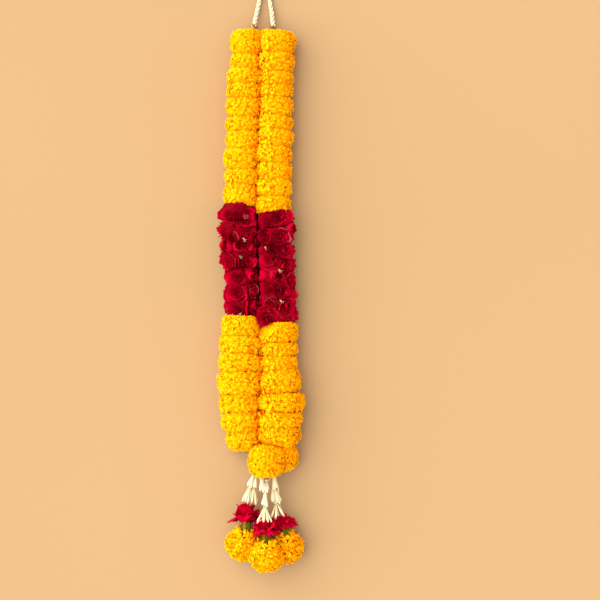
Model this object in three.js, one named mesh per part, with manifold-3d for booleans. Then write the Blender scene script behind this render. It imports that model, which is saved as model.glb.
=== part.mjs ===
// A garland of marigold heads and red roses on one cotton thread, laid flat with its two ropes side
// by side. Millimetres: X is across the ropes, Y runs from the tassel to the neck loop, and Z is up
// from the surface that the garland lies on. Y = 0 is where the ropes end and the tassel begins.
import * as THREE from "three";
import { mergeVertices } from "three/addons/utils/BufferGeometryUtils.js";
import Module from "manifold-3d";

const wasm = await Module();
wasm.setup();

// Driving dimensions
const threadRadius = 1.0;
const boreRadius = 1.8; // the hole that the needle leaves in a flower
const cupBoreRadius = 2.2; // and in a green cup, which bends
const touchGap = 0.3; // between two flowers that press on each other
const ropeTop = 718; // where the first bloom of both ropes begins
const restShare = 0.85; // height of a flower's axis, as a share of its radius: it sags onto the surface
const seamPress = 1.5; // how far each rope is pressed into the other
const seamSwing = 2.6; // the line between the ropes bows to both sides by this
const seamPeriod = 535;
const seamPeak = 155;
const floretsRound = 8; // florets in one row round a marigold head
const floretRelief = 0.21; // depth of the gap between two florets, as a share of the head's radius
const rosesPerRing = 5;
const hubShare = 0.36; // radius of the stalks' hub in a ring of roses, as a share of the ring's
const neckCordRadius = 2.4;
const peakY = 778; // centre of the small bend at the top of the neck loop
const peakX = 8.5;
const peakRadius = 5.5;

// Flowers of each rope from the top down: radius of each head or ring, and the length of thread it
// fills. Squashed heads are thin, and the heads near the foot are the fullest.
const leftRope = {
  upper: {
    radius: [25.5, 24.5, 27, 27, 27, 26.5, 26.5, 27.5, 27, 27.5],
    length: [45, 26, 22, 22, 30, 23, 28, 33, 25, 30],
  },
  roses: { radius: [33, 33, 31.5, 31, 28.5, 29, 27.5], length: Array(7).fill(25.4) },
  lower: { radius: [31, 33, 33.5, 34, 32.5, 31.5, 27], length: [34, 26, 30, 35, 27, 29, 35] },
};
const rightRope = {
  upper: {
    radius: [29, 28, 27, 27, 27, 27.5, 28, 28, 28.5, 28.5, 28],
    length: [43, 30, 20, 21, 30, 22, 26, 27, 27, 26, 26],
  },
  roses: { radius: [30.5, 31, 31.5, 31.5, 31.5, 31, 31], length: Array(7).fill(24.7) },
  lower: { radius: [31, 30, 30.5, 33, 35.5, 34, 32.5], length: [34, 22, 23, 35, 31, 20, 32] },
};

// Colours
const lemonYellow = 0xffc800;
const crimson = 0xb00024;
const cream = 0xf5e6c8;
const leafGreen = 0x4f6a22;
const cotton = 0xe9dfc6;

const garland = new THREE.Group();
const point = (x, y, z) => new THREE.Vector3(x, y, z);
const up = point(0, 0, 1);

// The same draw of numbers on every run
function seededDraw(seed) {
  let state = seed;
  return () => {
    state = (state + 0x6d2b79f5) | 0;
    let mixed = Math.imul(state ^ (state >>> 15), 1 | state);
    mixed = (mixed + Math.imul(mixed ^ (mixed >>> 7), 61 | mixed)) ^ mixed;
    return ((mixed ^ (mixed >>> 14)) >>> 0) / 4294967296;
  };
}

// Triangles between two rows of points, where one row may hold twice the points of the other, or one.
// Between two equal rows the cuts cross to and fro, so that every second point can stand up as a tip.
function stitchRows(faces, a, countA, b, countB, row) {
  const fewer = Math.min(countA, countB);
  const steps = fewer === 1 ? Math.max(countA, countB) : fewer;
  for (let i = 0; i < steps; i++) {
    if (countA === 1) faces.push(a, b + i, b + ((i + 1) % countB));
    else if (countB === 1) faces.push(a + i, b, a + ((i + 1) % countA));
    else if (countA === countB) {
      const next = (i + 1) % countA;
      if ((i + row) % 2 === 1) faces.push(a + i, b + i, a + next, a + next, b + i, b + next);
      else faces.push(a + i, b + i, b + next, a + i, b + next, a + next);
    } else if (countB > countA) {
      const next = (i + 1) % countA;
      const middle = b + 2 * i + 1;
      faces.push(a + i, b + 2 * i, middle);
      faces.push(a + i, middle, a + next);
      faces.push(a + next, middle, b + ((2 * i + 2) % countB));
    } else {
      const next = (i + 1) % countB;
      const middle = a + 2 * i + 1;
      faces.push(a + 2 * i, b + i, middle);
      faces.push(middle, b + i, b + next);
      faces.push(middle, b + next, a + ((2 * i + 2) % countA));
    }
  }
}

// A closed skin over rows of points. A row of one point closes an end, and a skin round a hole wraps.
function skinOver(rows, wraps = false) {
  const starts = [];
  let total = 0;
  for (const row of rows) {
    starts.push(total);
    total += row.length;
  }
  const faces = [];
  const bands = wraps ? rows.length : rows.length - 1;
  for (let k = 0; k < bands; k++) {
    const next = (k + 1) % rows.length;
    stitchRows(faces, starts[k], rows[k].length, starts[next], rows[next].length, k);
  }
  const corners = rows.flat();
  let volume = 0;
  for (let f = 0; f < faces.length; f += 3) {
    const [p, q, r] = [corners[faces[f]], corners[faces[f + 1]], corners[faces[f + 2]]];
    volume += p.dot(q.clone().cross(r));
  }
  if (volume < 0) faces.reverse();
  const geometry = new THREE.BufferGeometry();
  const numbers = corners.flatMap((corner) => [corner.x, corner.y, corner.z]);
  geometry.setAttribute("position", new THREE.Float32BufferAttribute(numbers, 3));
  geometry.setIndex(faces);
  return geometry;
}

function toSolid(geometry) {
  const bare = geometry.clone();
  bare.deleteAttribute("normal");
  bare.deleteAttribute("uv");
  const merged = mergeVertices(bare, 1e-4);
  const vertProperties = new Float32Array(merged.attributes.position.array);
  const triVerts = new Uint32Array(merged.index.array);
  return new wasm.Manifold(new wasm.Mesh({ numProp: 3, vertProperties, triVerts }));
}

function toGeometry(solid) {
  const mesh = solid.getMesh();
  const geometry = new THREE.BufferGeometry();
  geometry.setAttribute("position", new THREE.Float32BufferAttribute(mesh.vertProperties, 3));
  geometry.setIndex(Array.from(mesh.triVerts));
  return geometry;
}

// Several skins joined into one body
function fuse(geometries) {
  return geometries.map(toSolid).reduce((whole, piece) => whole.add(piece));
}

function place(name, geometry, color, roughness) {
  const material = new THREE.MeshStandardMaterial({ color, roughness, metalness: 0 });
  const mesh = new THREE.Mesh(geometry, material);
  mesh.name = name;
  garland.add(mesh);
}

// Two directions square to an axis
function crossDirections(axis) {
  const side = up.clone().cross(axis).normalize();
  const rise = axis.clone().cross(side).normalize();
  return [side, rise];
}

function ringOf(centre, axis, radius, count, turn = 0) {
  const [side, rise] = crossDirections(axis);
  const corners = [];
  for (let k = 0; k < count; k++) {
    const angle = turn + (k / count) * 2 * Math.PI;
    const reach = typeof radius === "function" ? radius(k) : radius;
    const corner = centre.clone().addScaledVector(side, reach * Math.cos(angle));
    corners.push(corner.addScaledVector(rise, reach * Math.sin(angle)));
  }
  return corners;
}

// A round cord along a line of points
function cordAlong(points, radius, sides, closed = false) {
  const last = points.length - 1;
  const rows = points.map((here, i) => {
    const before = points[i > 0 ? i - 1 : closed ? last : 0];
    const after = points[i < last ? i + 1 : closed ? 0 : last];
    return ringOf(here, after.clone().sub(before).normalize(), radius, sides);
  });
  if (closed) return skinOver(rows, true);
  return skinOver([[points[0]], ...rows, [points[last]]]);
}

// A flower on the thread: its middle, the points where the thread comes in and goes out, its radius,
// and the flats where its neighbours and the surface press on it
function makeFlower(name, centre, enter, leave, radius) {
  const axis = leave.clone().sub(enter).normalize();
  const half = leave.distanceTo(enter) / 2;
  const floor = new THREE.Plane(up.clone(), 0);
  return { name, centre, enter, leave, axis, half, radius, flats: [floor] };
}

function reachToward(flower, direction) {
  const share = flower.axis.dot(direction);
  return Math.hypot(flower.radius * Math.sqrt(1 - share * share), flower.half * share);
}

// A flat between two flowers that press on each other, with a hair of room on both sides
const neighbourRange = 1.4; // past this share of their reach two flowers don't meet

function pressTogether(a, b) {
  const line = b.centre.clone().sub(a.centre);
  const distance = line.length();
  const direction = line.normalize();
  const reachA = reachToward(a, direction);
  const reachB = reachToward(b, direction);
  if (distance > neighbourRange * (reachA + reachB)) return;
  const meet = (distance * reachA) / (reachA + reachB);
  const before = a.centre.clone().addScaledVector(direction, meet - touchGap / 2);
  const after = a.centre.clone().addScaledVector(direction, meet + touchGap / 2);
  a.flats.push(new THREE.Plane().setFromNormalAndCoplanarPoint(direction.clone().negate(), before));
  b.flats.push(new THREE.Plane().setFromNormalAndCoplanarPoint(direction, after));
}

// Pulls a point of a marigold head back along its ray from the middle, until it is inside every flat
function squeeze(flower, corner) {
  const ray = corner.clone().sub(flower.centre);
  let reach = 1;
  for (const flat of flower.flats) {
    const room = flat.distanceToPoint(flower.centre);
    const run = -flat.normal.dot(ray);
    if (run > room) reach = Math.min(reach, room / run);
  }
  return flower.centre.clone().addScaledVector(ray, reach);
}

// Bends a point of a petal straight back to the flats that it crosses
function bendBack(flower, corner) {
  for (let pass = 0; pass < 3; pass++) {
    for (const flat of flower.flats) {
      const depth = flat.distanceToPoint(corner);
      if (depth < 0) corner.addScaledVector(flat.normal, -depth);
    }
  }
  return corner;
}

// A marigold head: rows of florets, each row set half a floret on from the last one. A side that a
// neighbour presses on stays full out to its edge, and a free side is domed. The florets under the
// head are pressed flat on the surface.
const pressedSide = [0.3, 0.92];
const freeSide = [0.28, 0.64, 0.88];
const edgeFall = 0.15; // how far the head narrows to its pressed edge
const unevenness = 0.06; // florets are longer or shorter by this share in all

function headRows(flower, seed, domedEnter, domedLeave) {
  const draw = seededDraw(seed);
  const columns = 2 * floretsRound;
  const turn = (draw() * 2 * Math.PI) / floretsRound;
  const before = (domedEnter ? freeSide : pressedSide).map((share) => -share).reverse();
  const after = domedLeave ? freeSide : pressedSide;
  return [...before, ...after].map((level, row) => {
    const domed = level < 0 ? domedEnter : domedLeave;
    const end = level < 0 ? flower.enter : flower.leave;
    const middle = flower.centre.clone().lerp(end, Math.abs(level));
    const outline = domed ? Math.sqrt(1 - level * level) : 1 - edgeFall * level ** 4;
    const reach = () => flower.radius * outline * (1 + unevenness * (draw() - 0.5));
    const tips = ringOf(middle, flower.axis, reach, columns, turn);
    return tips.map((tip, k) => {
      const standsUp = (k + row) % 2 === 0;
      const pressedFlat = tip.z < 0;
      const corner = standsUp || pressedFlat ? tip : middle.clone().lerp(tip, 1 - floretRelief);
      return squeeze(flower, corner);
    });
  });
}

function needleRim(flower, end, share = 0.93) {
  const middle = flower.enter.clone().add(flower.leave).multiplyScalar(0.5);
  return ringOf(middle.lerp(end, share), flower.axis, boreRadius, floretsRound);
}

// A head on the thread, with the needle's hole right through
function threadedHead(flower, seed, domedEnter, domedLeave) {
  const rows = headRows(flower, seed, domedEnter, domedLeave);
  return skinOver([needleRim(flower, flower.enter), ...rows, needleRim(flower, flower.leave)], true);
}

// A head at the end of a cord. The cord stops in a pocket in the middle of it, and where the head
// still has its green cup, its back florets stand in a funnel round the cup.
const pocketPastMiddle = 2;
const pocketShortOfMiddle = 6;
const funnelRoom = 1; // round the cup

function endHead(flower, seed, cup) {
  const rows = headRows(flower, seed, true, true);
  const face = squeeze(flower, flower.leave.clone());
  const pocketDepth = cup ? pocketPastMiddle : -pocketShortOfMiddle;
  const pocketFloor = flower.centre.clone().addScaledVector(flower.axis, pocketDepth);
  const pocketRow = ringOf(pocketFloor, flower.axis, boreRadius, floretsRound);
  if (!cup) {
    const backRim = needleRim(flower, flower.enter, 0.96);
    return skinOver([[pocketFloor], pocketRow, backRim, ...rows, [face]]);
  }
  const seat = cup.base.clone().addScaledVector(flower.axis, touchGap);
  const seatRim = ringOf(seat, flower.axis, boreRadius, floretsRound);
  const seatEdge = ringOf(seat, flower.axis, cup.radius + funnelRoom, floretsRound);
  return skinOver([[pocketFloor], pocketRow, seatRim, seatEdge, ...rows.slice(1), [face]]);
}

// One small rose that faces out from the thread: a cup, a rim of four petals, and a rolled heart
function smallRose(ring, outward, turn) {
  const size = ring.radius;
  const at = (share) => ring.centre.clone().addScaledVector(outward, share * size);
  const rim = [];
  for (let k = 0; k < 8; k++) {
    const tip = k % 2 === 0;
    rim.push(ringOf(at(tip ? 0.76 : 0.86), outward, (tip ? 0.55 : 0.45) * size, 8, turn)[k]);
  }
  const rows = [
    [at(0.2)],
    ringOf(at(0.5), outward, 0.33 * size, 4, turn),
    rim,
    ringOf(at(0.78), outward, 0.3 * size, 4, turn),
    ringOf(at(1), outward, 0.17 * size, 4, turn),
    [at(0.93)],
  ];
  return skinOver(rows.map((row) => row.map((corner) => bendBack(ring, corner))));
}

// Rings of roses on one hub of stalks, with the thread's hole through the hub
function roseBunch(rings, seed) {
  const draw = seededDraw(seed);
  const stops = [rings[0].enter, ...rings.map((ring) => ring.leave)];
  const axis = stops[stops.length - 1].clone().sub(stops[0]).normalize();
  stops[0] = stops[0].clone().addScaledVector(axis, 1);
  stops[stops.length - 1] = stops[stops.length - 1].clone().addScaledVector(axis, -1);
  const hubRadius = hubShare * rings[0].radius;
  const bore = stops.map((stop) => ringOf(stop, axis, boreRadius, 6));
  const shell = stops.map((stop) => ringOf(stop, axis, hubRadius, 6)).reverse();
  const pieces = [skinOver([...bore, ...shell], true)];
  rings.forEach((ring, r) => {
    const [side, rise] = crossDirections(ring.axis);
    for (let k = 0; k < rosesPerRing; k++) {
      const half = (r + rings.length) % 2 === 0 ? 0 : 0.5;
      const angle = ((k + half + 0.12 * (draw() - 0.5)) / rosesPerRing) * 2 * Math.PI;
      const outward = side.clone().multiplyScalar(Math.cos(angle)).addScaledVector(rise, Math.sin(angle));
      pieces.push(smallRose(ring, outward, draw() * Math.PI));
    }
  });
  return toGeometry(fuse(pieces));
}

// The larger rose of a tassel strand, threaded through its heart
function tasselRose(flower, seed) {
  const draw = seededDraw(seed);
  const { radius, axis } = flower;
  const turn = draw() * Math.PI;
  const middle = flower.enter.clone().add(flower.leave).multiplyScalar(0.5);
  const at = (level) => middle.clone().lerp(level < 0 ? flower.enter : flower.leave, Math.abs(level));
  const petals = (tipLevel, gapLevel, tipReach, gapReach, first) => {
    const tips = ringOf(at(tipLevel), axis, tipReach * radius, 10, turn);
    const gaps = ringOf(at(gapLevel), axis, gapReach * radius, 10, turn);
    return tips.map((tip, k) => ((k + first) % 2 === 0 ? tip : gaps[k]));
  };
  const rows = [
    ringOf(at(-0.55), axis, boreRadius, 5, turn),
    petals(-0.95, -0.7, 0.5, 0.4, 0),
    petals(-0.8, -0.35, 1, 0.62, 0),
    petals(-0.25, 0.1, 0.66, 0.96, 0),
    petals(0.25, 0.35, 0.92, 0.6, 0),
    petals(0.75, 0.55, 0.42, 0.78, 0),
    ringOf(at(0.9), axis, 0.24 * radius, 5, turn),
    ringOf(at(0.96), axis, boreRadius, 5, turn),
  ];
  return skinOver(rows.map((row) => row.map((corner) => bendBack(flower, corner))), true);
}

// The ribbed green cup of a marigold, from its base in the head to the neck where the cord comes in
function greenCup({ base, belly, neck, radius }) {
  const line = new THREE.CatmullRomCurve3([base, belly, neck]);
  const ribs = (share, reach, depth) => {
    const ring = (size) => ringOf(line.getPoint(share), line.getTangent(share), size, 10);
    const outer = ring(reach);
    const inner = ring(reach - depth);
    return outer.map((corner, k) => (k % 2 === 0 ? corner : inner[k]));
  };
  const rim = (share) => ringOf(line.getPoint(share), line.getTangent(share), cupBoreRadius, 5);
  const rows = [
    rim(0),
    ribs(0.02, radius, 1.2),
    ribs(0.4, 0.95 * radius, 1),
    ribs(0.75, 0.62 * radius, 0.6),
    ringOf(line.getPoint(0.98), line.getTangent(0.98), 0.45 * radius, 5),
    rim(1),
    rim(0.5),
  ];
  return skinOver(rows, true);
}

// A flower bud: a slim spindle from its root to its tip, with a waist if it is a long one
function bud(root, direction, length, thickness, long) {
  const at = (share) => root.clone().addScaledVector(direction, share * length);
  const ring = (share, reach) => ringOf(at(share), direction, reach * thickness, 4);
  const rows = long ? [ring(0.3, 0.36), ring(0.75, 0.5)] : [ring(0.6, 0.5)];
  return skinOver([[root], ...rows, [at(1)]]);
}

// Buds in whorls along a line of points: every whorl starts on the cord and opens towards the end
function whorlsAlong(line, whorls, size, flower) {
  const buds = [];
  whorls.forEach(([place, spread], w) => {
    const start = line.getPointAt(place);
    const ahead = line.getTangentAt(place);
    const [side, rise] = crossDirections(ahead);
    for (let k = 0; k < size.perWhorl; k++) {
      const round = ((k + 0.5 * (w % 2)) / size.perWhorl) * 2 * Math.PI;
      const outward = side.clone().multiplyScalar(Math.cos(round)).addScaledVector(rise, Math.sin(round));
      const direction = ahead.clone().multiplyScalar(Math.cos(spread));
      direction.addScaledVector(outward, Math.sin(spread));
      const shape = bud(start, direction, size.length, size.thickness, size.long);
      const spots = shape.attributes.position;
      for (let i = 0; i < spots.count; i++) {
        const corner = bendBack(flower, point(0, 0, 0).fromBufferAttribute(spots, i));
        spots.setXYZ(i, corner.x, corner.y, corner.z);
      }
      buds.push(shape);
    }
  });
  return buds;
}

// The two ropes
function seamAt(y) {
  return seamSwing * Math.cos((2 * Math.PI * (y - seamPeak)) / seamPeriod);
}

function layRope(side, rope) {
  const stack = [];
  for (const [section, kind] of [["upper", "marigold"], ["roses", "roses"], ["lower", "marigold"]]) {
    rope[section].radius.forEach((radius, k) => {
      stack.push({ kind, section, number: k + 1, radius, length: rope[section].length[k] });
    });
  }
  let y = ropeTop;
  for (const flower of stack) {
    const middle = y - flower.length / 2;
    const x = seamAt(middle) + side * (flower.radius - seamPress);
    flower.centre = point(x, middle, restShare * flower.radius);
    y -= flower.length;
  }
  return stack;
}

// The right rope ends in one more bloom, set out to the side behind the join bloom
const leftStack = layRope(-1, leftRope);
const rightStack = layRope(1, rightRope);
const footBloom = { kind: "marigold", section: "lower", number: 8, radius: 25, length: 46 };
footBloom.centre = point(40, 27, restShare * footBloom.radius);
rightStack.push(footBloom);

// The thread: down the left rope, across under the join bloom, up the right rope, round the neck loop
const napeLeft = [point(-8.8, 714, 19), point(-6.5, 727, 13), point(-3.6, 742, 7), point(0.6, 763, 5)];
const napeRight = [point(17.2, 763, 5), point(20.4, 742, 7), point(22.4, 727, 13), point(23.6, 714, 20)];
const napePeak = [];
for (let k = 0; k <= 4; k++) {
  const angle = Math.PI * (1 - k / 4);
  napePeak.push(point(peakX + peakRadius * Math.cos(angle), peakY + peakRadius * Math.sin(angle), 5));
}
const footLeft = point(-25, 40, 22);
const footRight = point(36, 5, 18);
const crossing = [
  point(-17, 30, 15),
  point(-4, 21, 9),
  point(6, 6, 8),
  point(14, -7, 9),
  point(26, -6, 12),
];

function threadStops(stack, first, last) {
  const stops = [first];
  for (let k = 1; k < stack.length; k++) {
    const [a, b] = [stack[k - 1], stack[k]];
    stops.push(a.centre.clone().lerp(b.centre, a.length / (a.length + b.length)));
  }
  stops.push(last);
  return stops;
}

function nameFlowers(side, stack, stops) {
  return stack.map((spot, k) => {
    const name = `${spot.kind}_${side}_${spot.section}_${spot.number}`;
    const flower = makeFlower(name, spot.centre, stops[k], stops[k + 1], spot.radius);
    return Object.assign(flower, { kind: spot.kind, half: spot.length / 2 });
  });
}

const leftStops = threadStops(leftStack, napeLeft[0], footLeft);
const rightStops = threadStops(rightStack, napeRight[napeRight.length - 1], footRight);
const leftFlowers = nameFlowers("left", leftStack, leftStops);
const rightFlowers = nameFlowers("right", rightStack, rightStops);

// The join bloom, at the end of the tassel's tie
const joinCentre = point(12.8, 25.6, 50);
const joinFoot = point(13, 0.5, 48);
const joinTop = point(12.8, 50.5, 51);
const joinBloom = makeFlower("marigold_join", joinCentre, joinFoot, joinTop, 27.5);

// The three tassel strands. Each rose has the points where the cord enters and leaves it, and each
// head its middle and the lean of its green cup. The middle strand lies over the other two.
const cupDepth = 11; // from the middle of a head to the base of its cup
const cupReach = 20; // to the belly of the cup
const headDepth = 0.86; // half the length of a head along its axis, as a share of its radius
const strands = [
  {
    name: "left",
    cord: [
      point(9.3, -6.1, 45.6),
      point(0, -5, 41),
      point(-8, -7, 38),
      point(-14, -18, 32),
      point(-18, -31, 24),
    ],
    whorls: [[0.27, 0.28], [0.45, 0.26], [0.63, 0.3], [0.76, 0.6]],
    roseRadius: 24,
    rose: [point(-19.2, -43, 18), point(-19.2, -69.5, 28)],
    neck: point(-19.5, -72.5, 30.5),
    cupRadius: 7.6,
    cupLean: point(0.08, 0.93, 0.35),
    head: point(-23.7, -109, 25),
    headRadius: 28.5,
  },
  {
    name: "right",
    cord: [
      point(16.7, -6.1, 45.6),
      point(24, -5, 42),
      point(29, -9, 38),
      point(31.5, -22, 31),
      point(32, -42, 21),
    ],
    whorls: [[0.18, 0.28], [0.36, 0.26], [0.54, 0.3], [0.68, 0.5]],
    roseRadius: 20,
    rose: [point(41.5, -60, 15), point(44.3, -83, 23)],
    neck: point(44.7, -86, 25.5),
    cupRadius: 7.2,
    cupLean: point(-0.08, 0.93, 0.36),
    head: point(48, -114, 24),
    headRadius: 27,
  },
  {
    name: "middle",
    cord: [point(13, -9, 45.5), point(10, -22, 44), point(9, -45, 42), point(11, -58, 42)],
    whorls: [[0.08, 0.3], [0.34, 0.26], [0.56, 0.3], [0.74, 0.6]],
    roseRadius: 20,
    rose: [point(12, -68, 43), point(12.2, -92, 48)],
    neck: point(12.3, -95, 50),
    cupRadius: 6.6,
    cupLean: point(0, 0.98, 0.19),
    head: point(12.8, -127, 53),
    headRadius: 27,
  },
];

for (const strand of strands) {
  const [enter, leave] = strand.rose;
  const { name, head, headRadius } = strand;
  const roseMiddle = enter.clone().add(leave).multiplyScalar(0.5);
  strand.roseFlower = makeFlower(`rose_tassel_${name}`, roseMiddle, enter, leave, strand.roseRadius);
  const lean = strand.cupLean.clone().normalize();
  const back = head.clone().addScaledVector(lean, headDepth * headRadius);
  const face = head.clone().addScaledVector(lean, -headDepth * headRadius);
  strand.headFlower = makeFlower(`marigold_tassel_${name}`, head, back, face, headRadius);
  strand.cup = {
    base: head.clone().addScaledVector(lean, cupDepth),
    belly: head.clone().addScaledVector(lean, cupReach),
    neck: strand.neck,
    radius: strand.cupRadius,
  };
}

// Every pair of neighbours presses on each other
const flowers = [...leftFlowers, ...rightFlowers, joinBloom];
for (const strand of strands) flowers.push(strand.roseFlower, strand.headFlower);
for (let i = 0; i < flowers.length; i++) {
  for (let j = i + 1; j < flowers.length; j++) pressTogether(flowers[i], flowers[j]);
}

// Rope blooms and rings of roses
const bunches = [[0, 1], [2, 3], [4, 5, 6]]; // rings of roses that share one hub

function placeRope(side, rope) {
  const rings = rope.filter((flower) => flower.kind === "roses");
  const blooms = rope.filter((flower) => flower.kind === "marigold");
  const seedBase = side === "left" ? 100 : 500;
  blooms.forEach((bloom, k) => {
    const first = bloom === rope[0];
    const last = bloom === rope[rope.length - 1];
    place(bloom.name, threadedHead(bloom, seedBase + k, first, last), lemonYellow, 0.7);
  });
  bunches.forEach((members, b) => {
    const bunch = members.map((index) => rings[index]);
    place(`roses_${side}_${b + 1}`, roseBunch(bunch, seedBase + 50 + b), crimson, 0.6);
  });
}

placeRope("left", leftFlowers);
placeRope("right", rightFlowers);
place(joinBloom.name, endHead(joinBloom, 900), lemonYellow, 0.7);

// The garland thread, and the neck loop's two strings of small buds round it
const napeLine = [...napeLeft, ...napePeak, ...napeRight];
const ropeLine = [...leftStops.slice(1), ...crossing, ...rightStops.slice(1).reverse()];
const threadLine = [...napeLine, ...ropeLine.reverse()];
place("garland_thread", cordAlong(threadLine, threadRadius, 5, true), cotton, 0.8);

const surface = new THREE.Plane(up.clone(), 0);
const smallBuds = { perWhorl: 3, length: 9.5, thickness: 4.2, long: false };
const smallBudPitch = 8.2;

function neckString(name, points, beyond, apexSide) {
  const line = new THREE.CurvePath();
  for (let k = 1; k < points.length; k++) line.add(new THREE.LineCurve3(points[k - 1], points[k]));
  const count = Math.round(line.getLength() / smallBudPitch);
  const whorls = Array.from({ length: count }, (_, k) => [(k + 0.15) / count, 0.42]);
  const apex = point(peakX + (apexSide * touchGap) / 2, peakY, 0);
  const apexFlat = new THREE.Plane().setFromNormalAndCoplanarPoint(point(apexSide, 0, 0), apex);
  const buds = whorlsAlong(line, whorls, smallBuds, { flats: [surface, apexFlat] });
  const last = points.length - 1;
  const start = points[0].clone().lerp(points[1], 0.2);
  const end = points[last].clone().lerp(points[last - 1], 0.3);
  const core = cordAlong([start, ...points.slice(1, -1), end], neckCordRadius, 6);
  const bore = cordAlong([...points, beyond], threadRadius + 0.5, 6);
  place(name, toGeometry(fuse([core, ...buds]).subtract(toSolid(bore))), cream, 0.6);
}

neckString("neck_string_left", [...napeLeft, ...napePeak.slice(0, 3)], napePeak[3], -1);
const napeRightUp = napeRight.slice().reverse();
neckString("neck_string_right", [...napeRightUp, ...napePeak.slice(2).reverse()], napePeak[1], 1);

// The tassel's tie: a knot under the join bloom, a prong up into it, and a loop round the thread
const knotRadius = 3.6;
const knotCentre = joinBloom.enter.clone().addScaledVector(joinBloom.axis, -knotRadius - 2);
const prongEnd = joinBloom.enter.clone().addScaledVector(joinBloom.axis, 14);
const loopRadius = 3;
const loopCentre = crossing[3];
const loopAxis = crossing[4].clone().sub(crossing[2]).normalize();
const prong = cordAlong([knotCentre, prongEnd], threadRadius, 6);
const loopTop = loopCentre.clone().addScaledVector(up, loopRadius);
const drop = cordAlong([knotCentre, loopTop], threadRadius, 6);
const loop = new THREE.TorusGeometry(loopRadius, threadRadius, 6, 10);
loop.applyQuaternion(new THREE.Quaternion().setFromUnitVectors(up, loopAxis));
loop.translate(loopCentre.x, loopCentre.y, loopCentre.z);
const knot = new THREE.IcosahedronGeometry(knotRadius, 1);
knot.translate(knotCentre.x, knotCentre.y, knotCentre.z);
place("tassel_tie", toGeometry(fuse([knot, prong, drop, loop])), cotton, 0.8);

// The tassel strands
const longBuds = { perWhorl: 4, length: 22, thickness: 5.4, long: true };

strands.forEach((strand, s) => {
  const [enter, leave] = strand.rose;
  const { cup, headFlower, roseFlower } = strand;
  const budLine = new THREE.CatmullRomCurve3([...strand.cord, enter]);
  const pocket = strand.head.clone().addScaledVector(headFlower.axis, -pocketPastMiddle);
  const cordPoints = [...budLine.getPoints(8), leave, cup.neck, cup.belly, cup.base, pocket];
  const above = enter.clone().addScaledVector(roseFlower.axis, -1);
  const roseTop = roseFlower.axis.clone().negate();
  const clear = { flats: [surface, new THREE.Plane().setFromNormalAndCoplanarPoint(roseTop, above)] };
  const buds = whorlsAlong(budLine, strand.whorls, longBuds, clear);
  const string = fuse([cordAlong(cordPoints, threadRadius, 6), ...buds]);
  place(`bud_string_${strand.name}`, toGeometry(string), cream, 0.6);
  place(roseFlower.name, tasselRose(roseFlower, 700 + s), crimson, 0.6);
  place(`green_cup_${strand.name}`, greenCup(cup), leafGreen, 0.6);
  place(headFlower.name, endHead(headFlower, 910 + s, cup), lemonYellow, 0.7);
});

// The origin is on the surface, under the middle of the garland
const bounds = new THREE.Box3().setFromObject(garland);
const middle = bounds.getCenter(point(0, 0, 0));
garland.position.set(-middle.x, -middle.y, -bounds.min.z);

export default garland;
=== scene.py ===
import math

import bpy
import numpy as np
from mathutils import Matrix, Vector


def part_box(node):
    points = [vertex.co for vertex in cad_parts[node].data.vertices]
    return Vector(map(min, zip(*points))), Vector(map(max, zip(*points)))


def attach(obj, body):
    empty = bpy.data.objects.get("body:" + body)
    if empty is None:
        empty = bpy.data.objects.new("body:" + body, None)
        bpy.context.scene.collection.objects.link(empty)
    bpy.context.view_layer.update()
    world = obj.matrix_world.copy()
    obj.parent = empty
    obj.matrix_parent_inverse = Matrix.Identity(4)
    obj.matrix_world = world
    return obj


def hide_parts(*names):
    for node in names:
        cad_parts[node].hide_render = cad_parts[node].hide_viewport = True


# Marigold garland, laid flat: every flower, bud and thread is finished here, in metres, where the
# frame has it. The ropes run along Y, and the camera looks straight down.

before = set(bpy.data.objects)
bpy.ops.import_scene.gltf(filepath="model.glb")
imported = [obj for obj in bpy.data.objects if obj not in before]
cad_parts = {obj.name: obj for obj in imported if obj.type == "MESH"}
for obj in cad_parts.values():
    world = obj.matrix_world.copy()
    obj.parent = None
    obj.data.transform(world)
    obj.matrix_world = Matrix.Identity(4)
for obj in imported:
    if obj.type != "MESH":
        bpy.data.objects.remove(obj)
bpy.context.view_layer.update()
scene = bpy.context.scene
goldenAngle = math.pi * (3 - math.sqrt(5))
mm = 0.001
newDraw = np.random.default_rng


def newObject(name, data):
    made = bpy.data.objects.new(name, data)
    scene.collection.objects.link(made)
    return made


# camera, as the photo frames the garland
cameraLook = {"lens": 85, "sensor": 36, "place": (0.0632, -0.0392, 2.29)}
camera = newObject("camera", bpy.data.cameras.new("camera"))
camera.data.lens = cameraLook["lens"]
camera.data.sensor_width = cameraLook["sensor"]
camera.location = cameraLook["place"]
scene.camera = camera
scene.view_settings.view_transform = "Standard"
print("camera ready")


# small tools for points
def unit(v):
    return v / np.maximum(np.linalg.norm(v, axis=-1, keepdims=True), 1e-12)


def smoothStep(t):
    t = np.clip(t, 0, 1)
    return t * t * (3 - 2 * t)


def evenAngles(count):
    return np.linspace(0, 2 * math.pi, count, endpoint=False)


def sideOf(axis):
    return unit(np.cross([0.0, 0.0, 1.0], axis))


def fan(angle, axis, side=None):
    # directions square to an axis, at these angles round it
    side = sideOf(axis) if side is None else side
    return np.cos(angle)[..., None] * side + np.sin(angle)[..., None] * np.cross(axis, side)


def ripple(points):
    # one uneven surface for both neighbours, so that their petals mesh instead of ending in a line
    x, y, z = points[..., 0], points[..., 1], points[..., 2]
    wide = np.sin(610 * x + 90 * y) * np.cos(470 * z + 1) + np.sin(560 * y + 1.7) * np.cos(640 * z)
    return wide + 0.6 * np.sin(1150 * x - 700 * z + 0.6) + 0.6 * np.sin(1080 * y + 800 * z)


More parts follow.
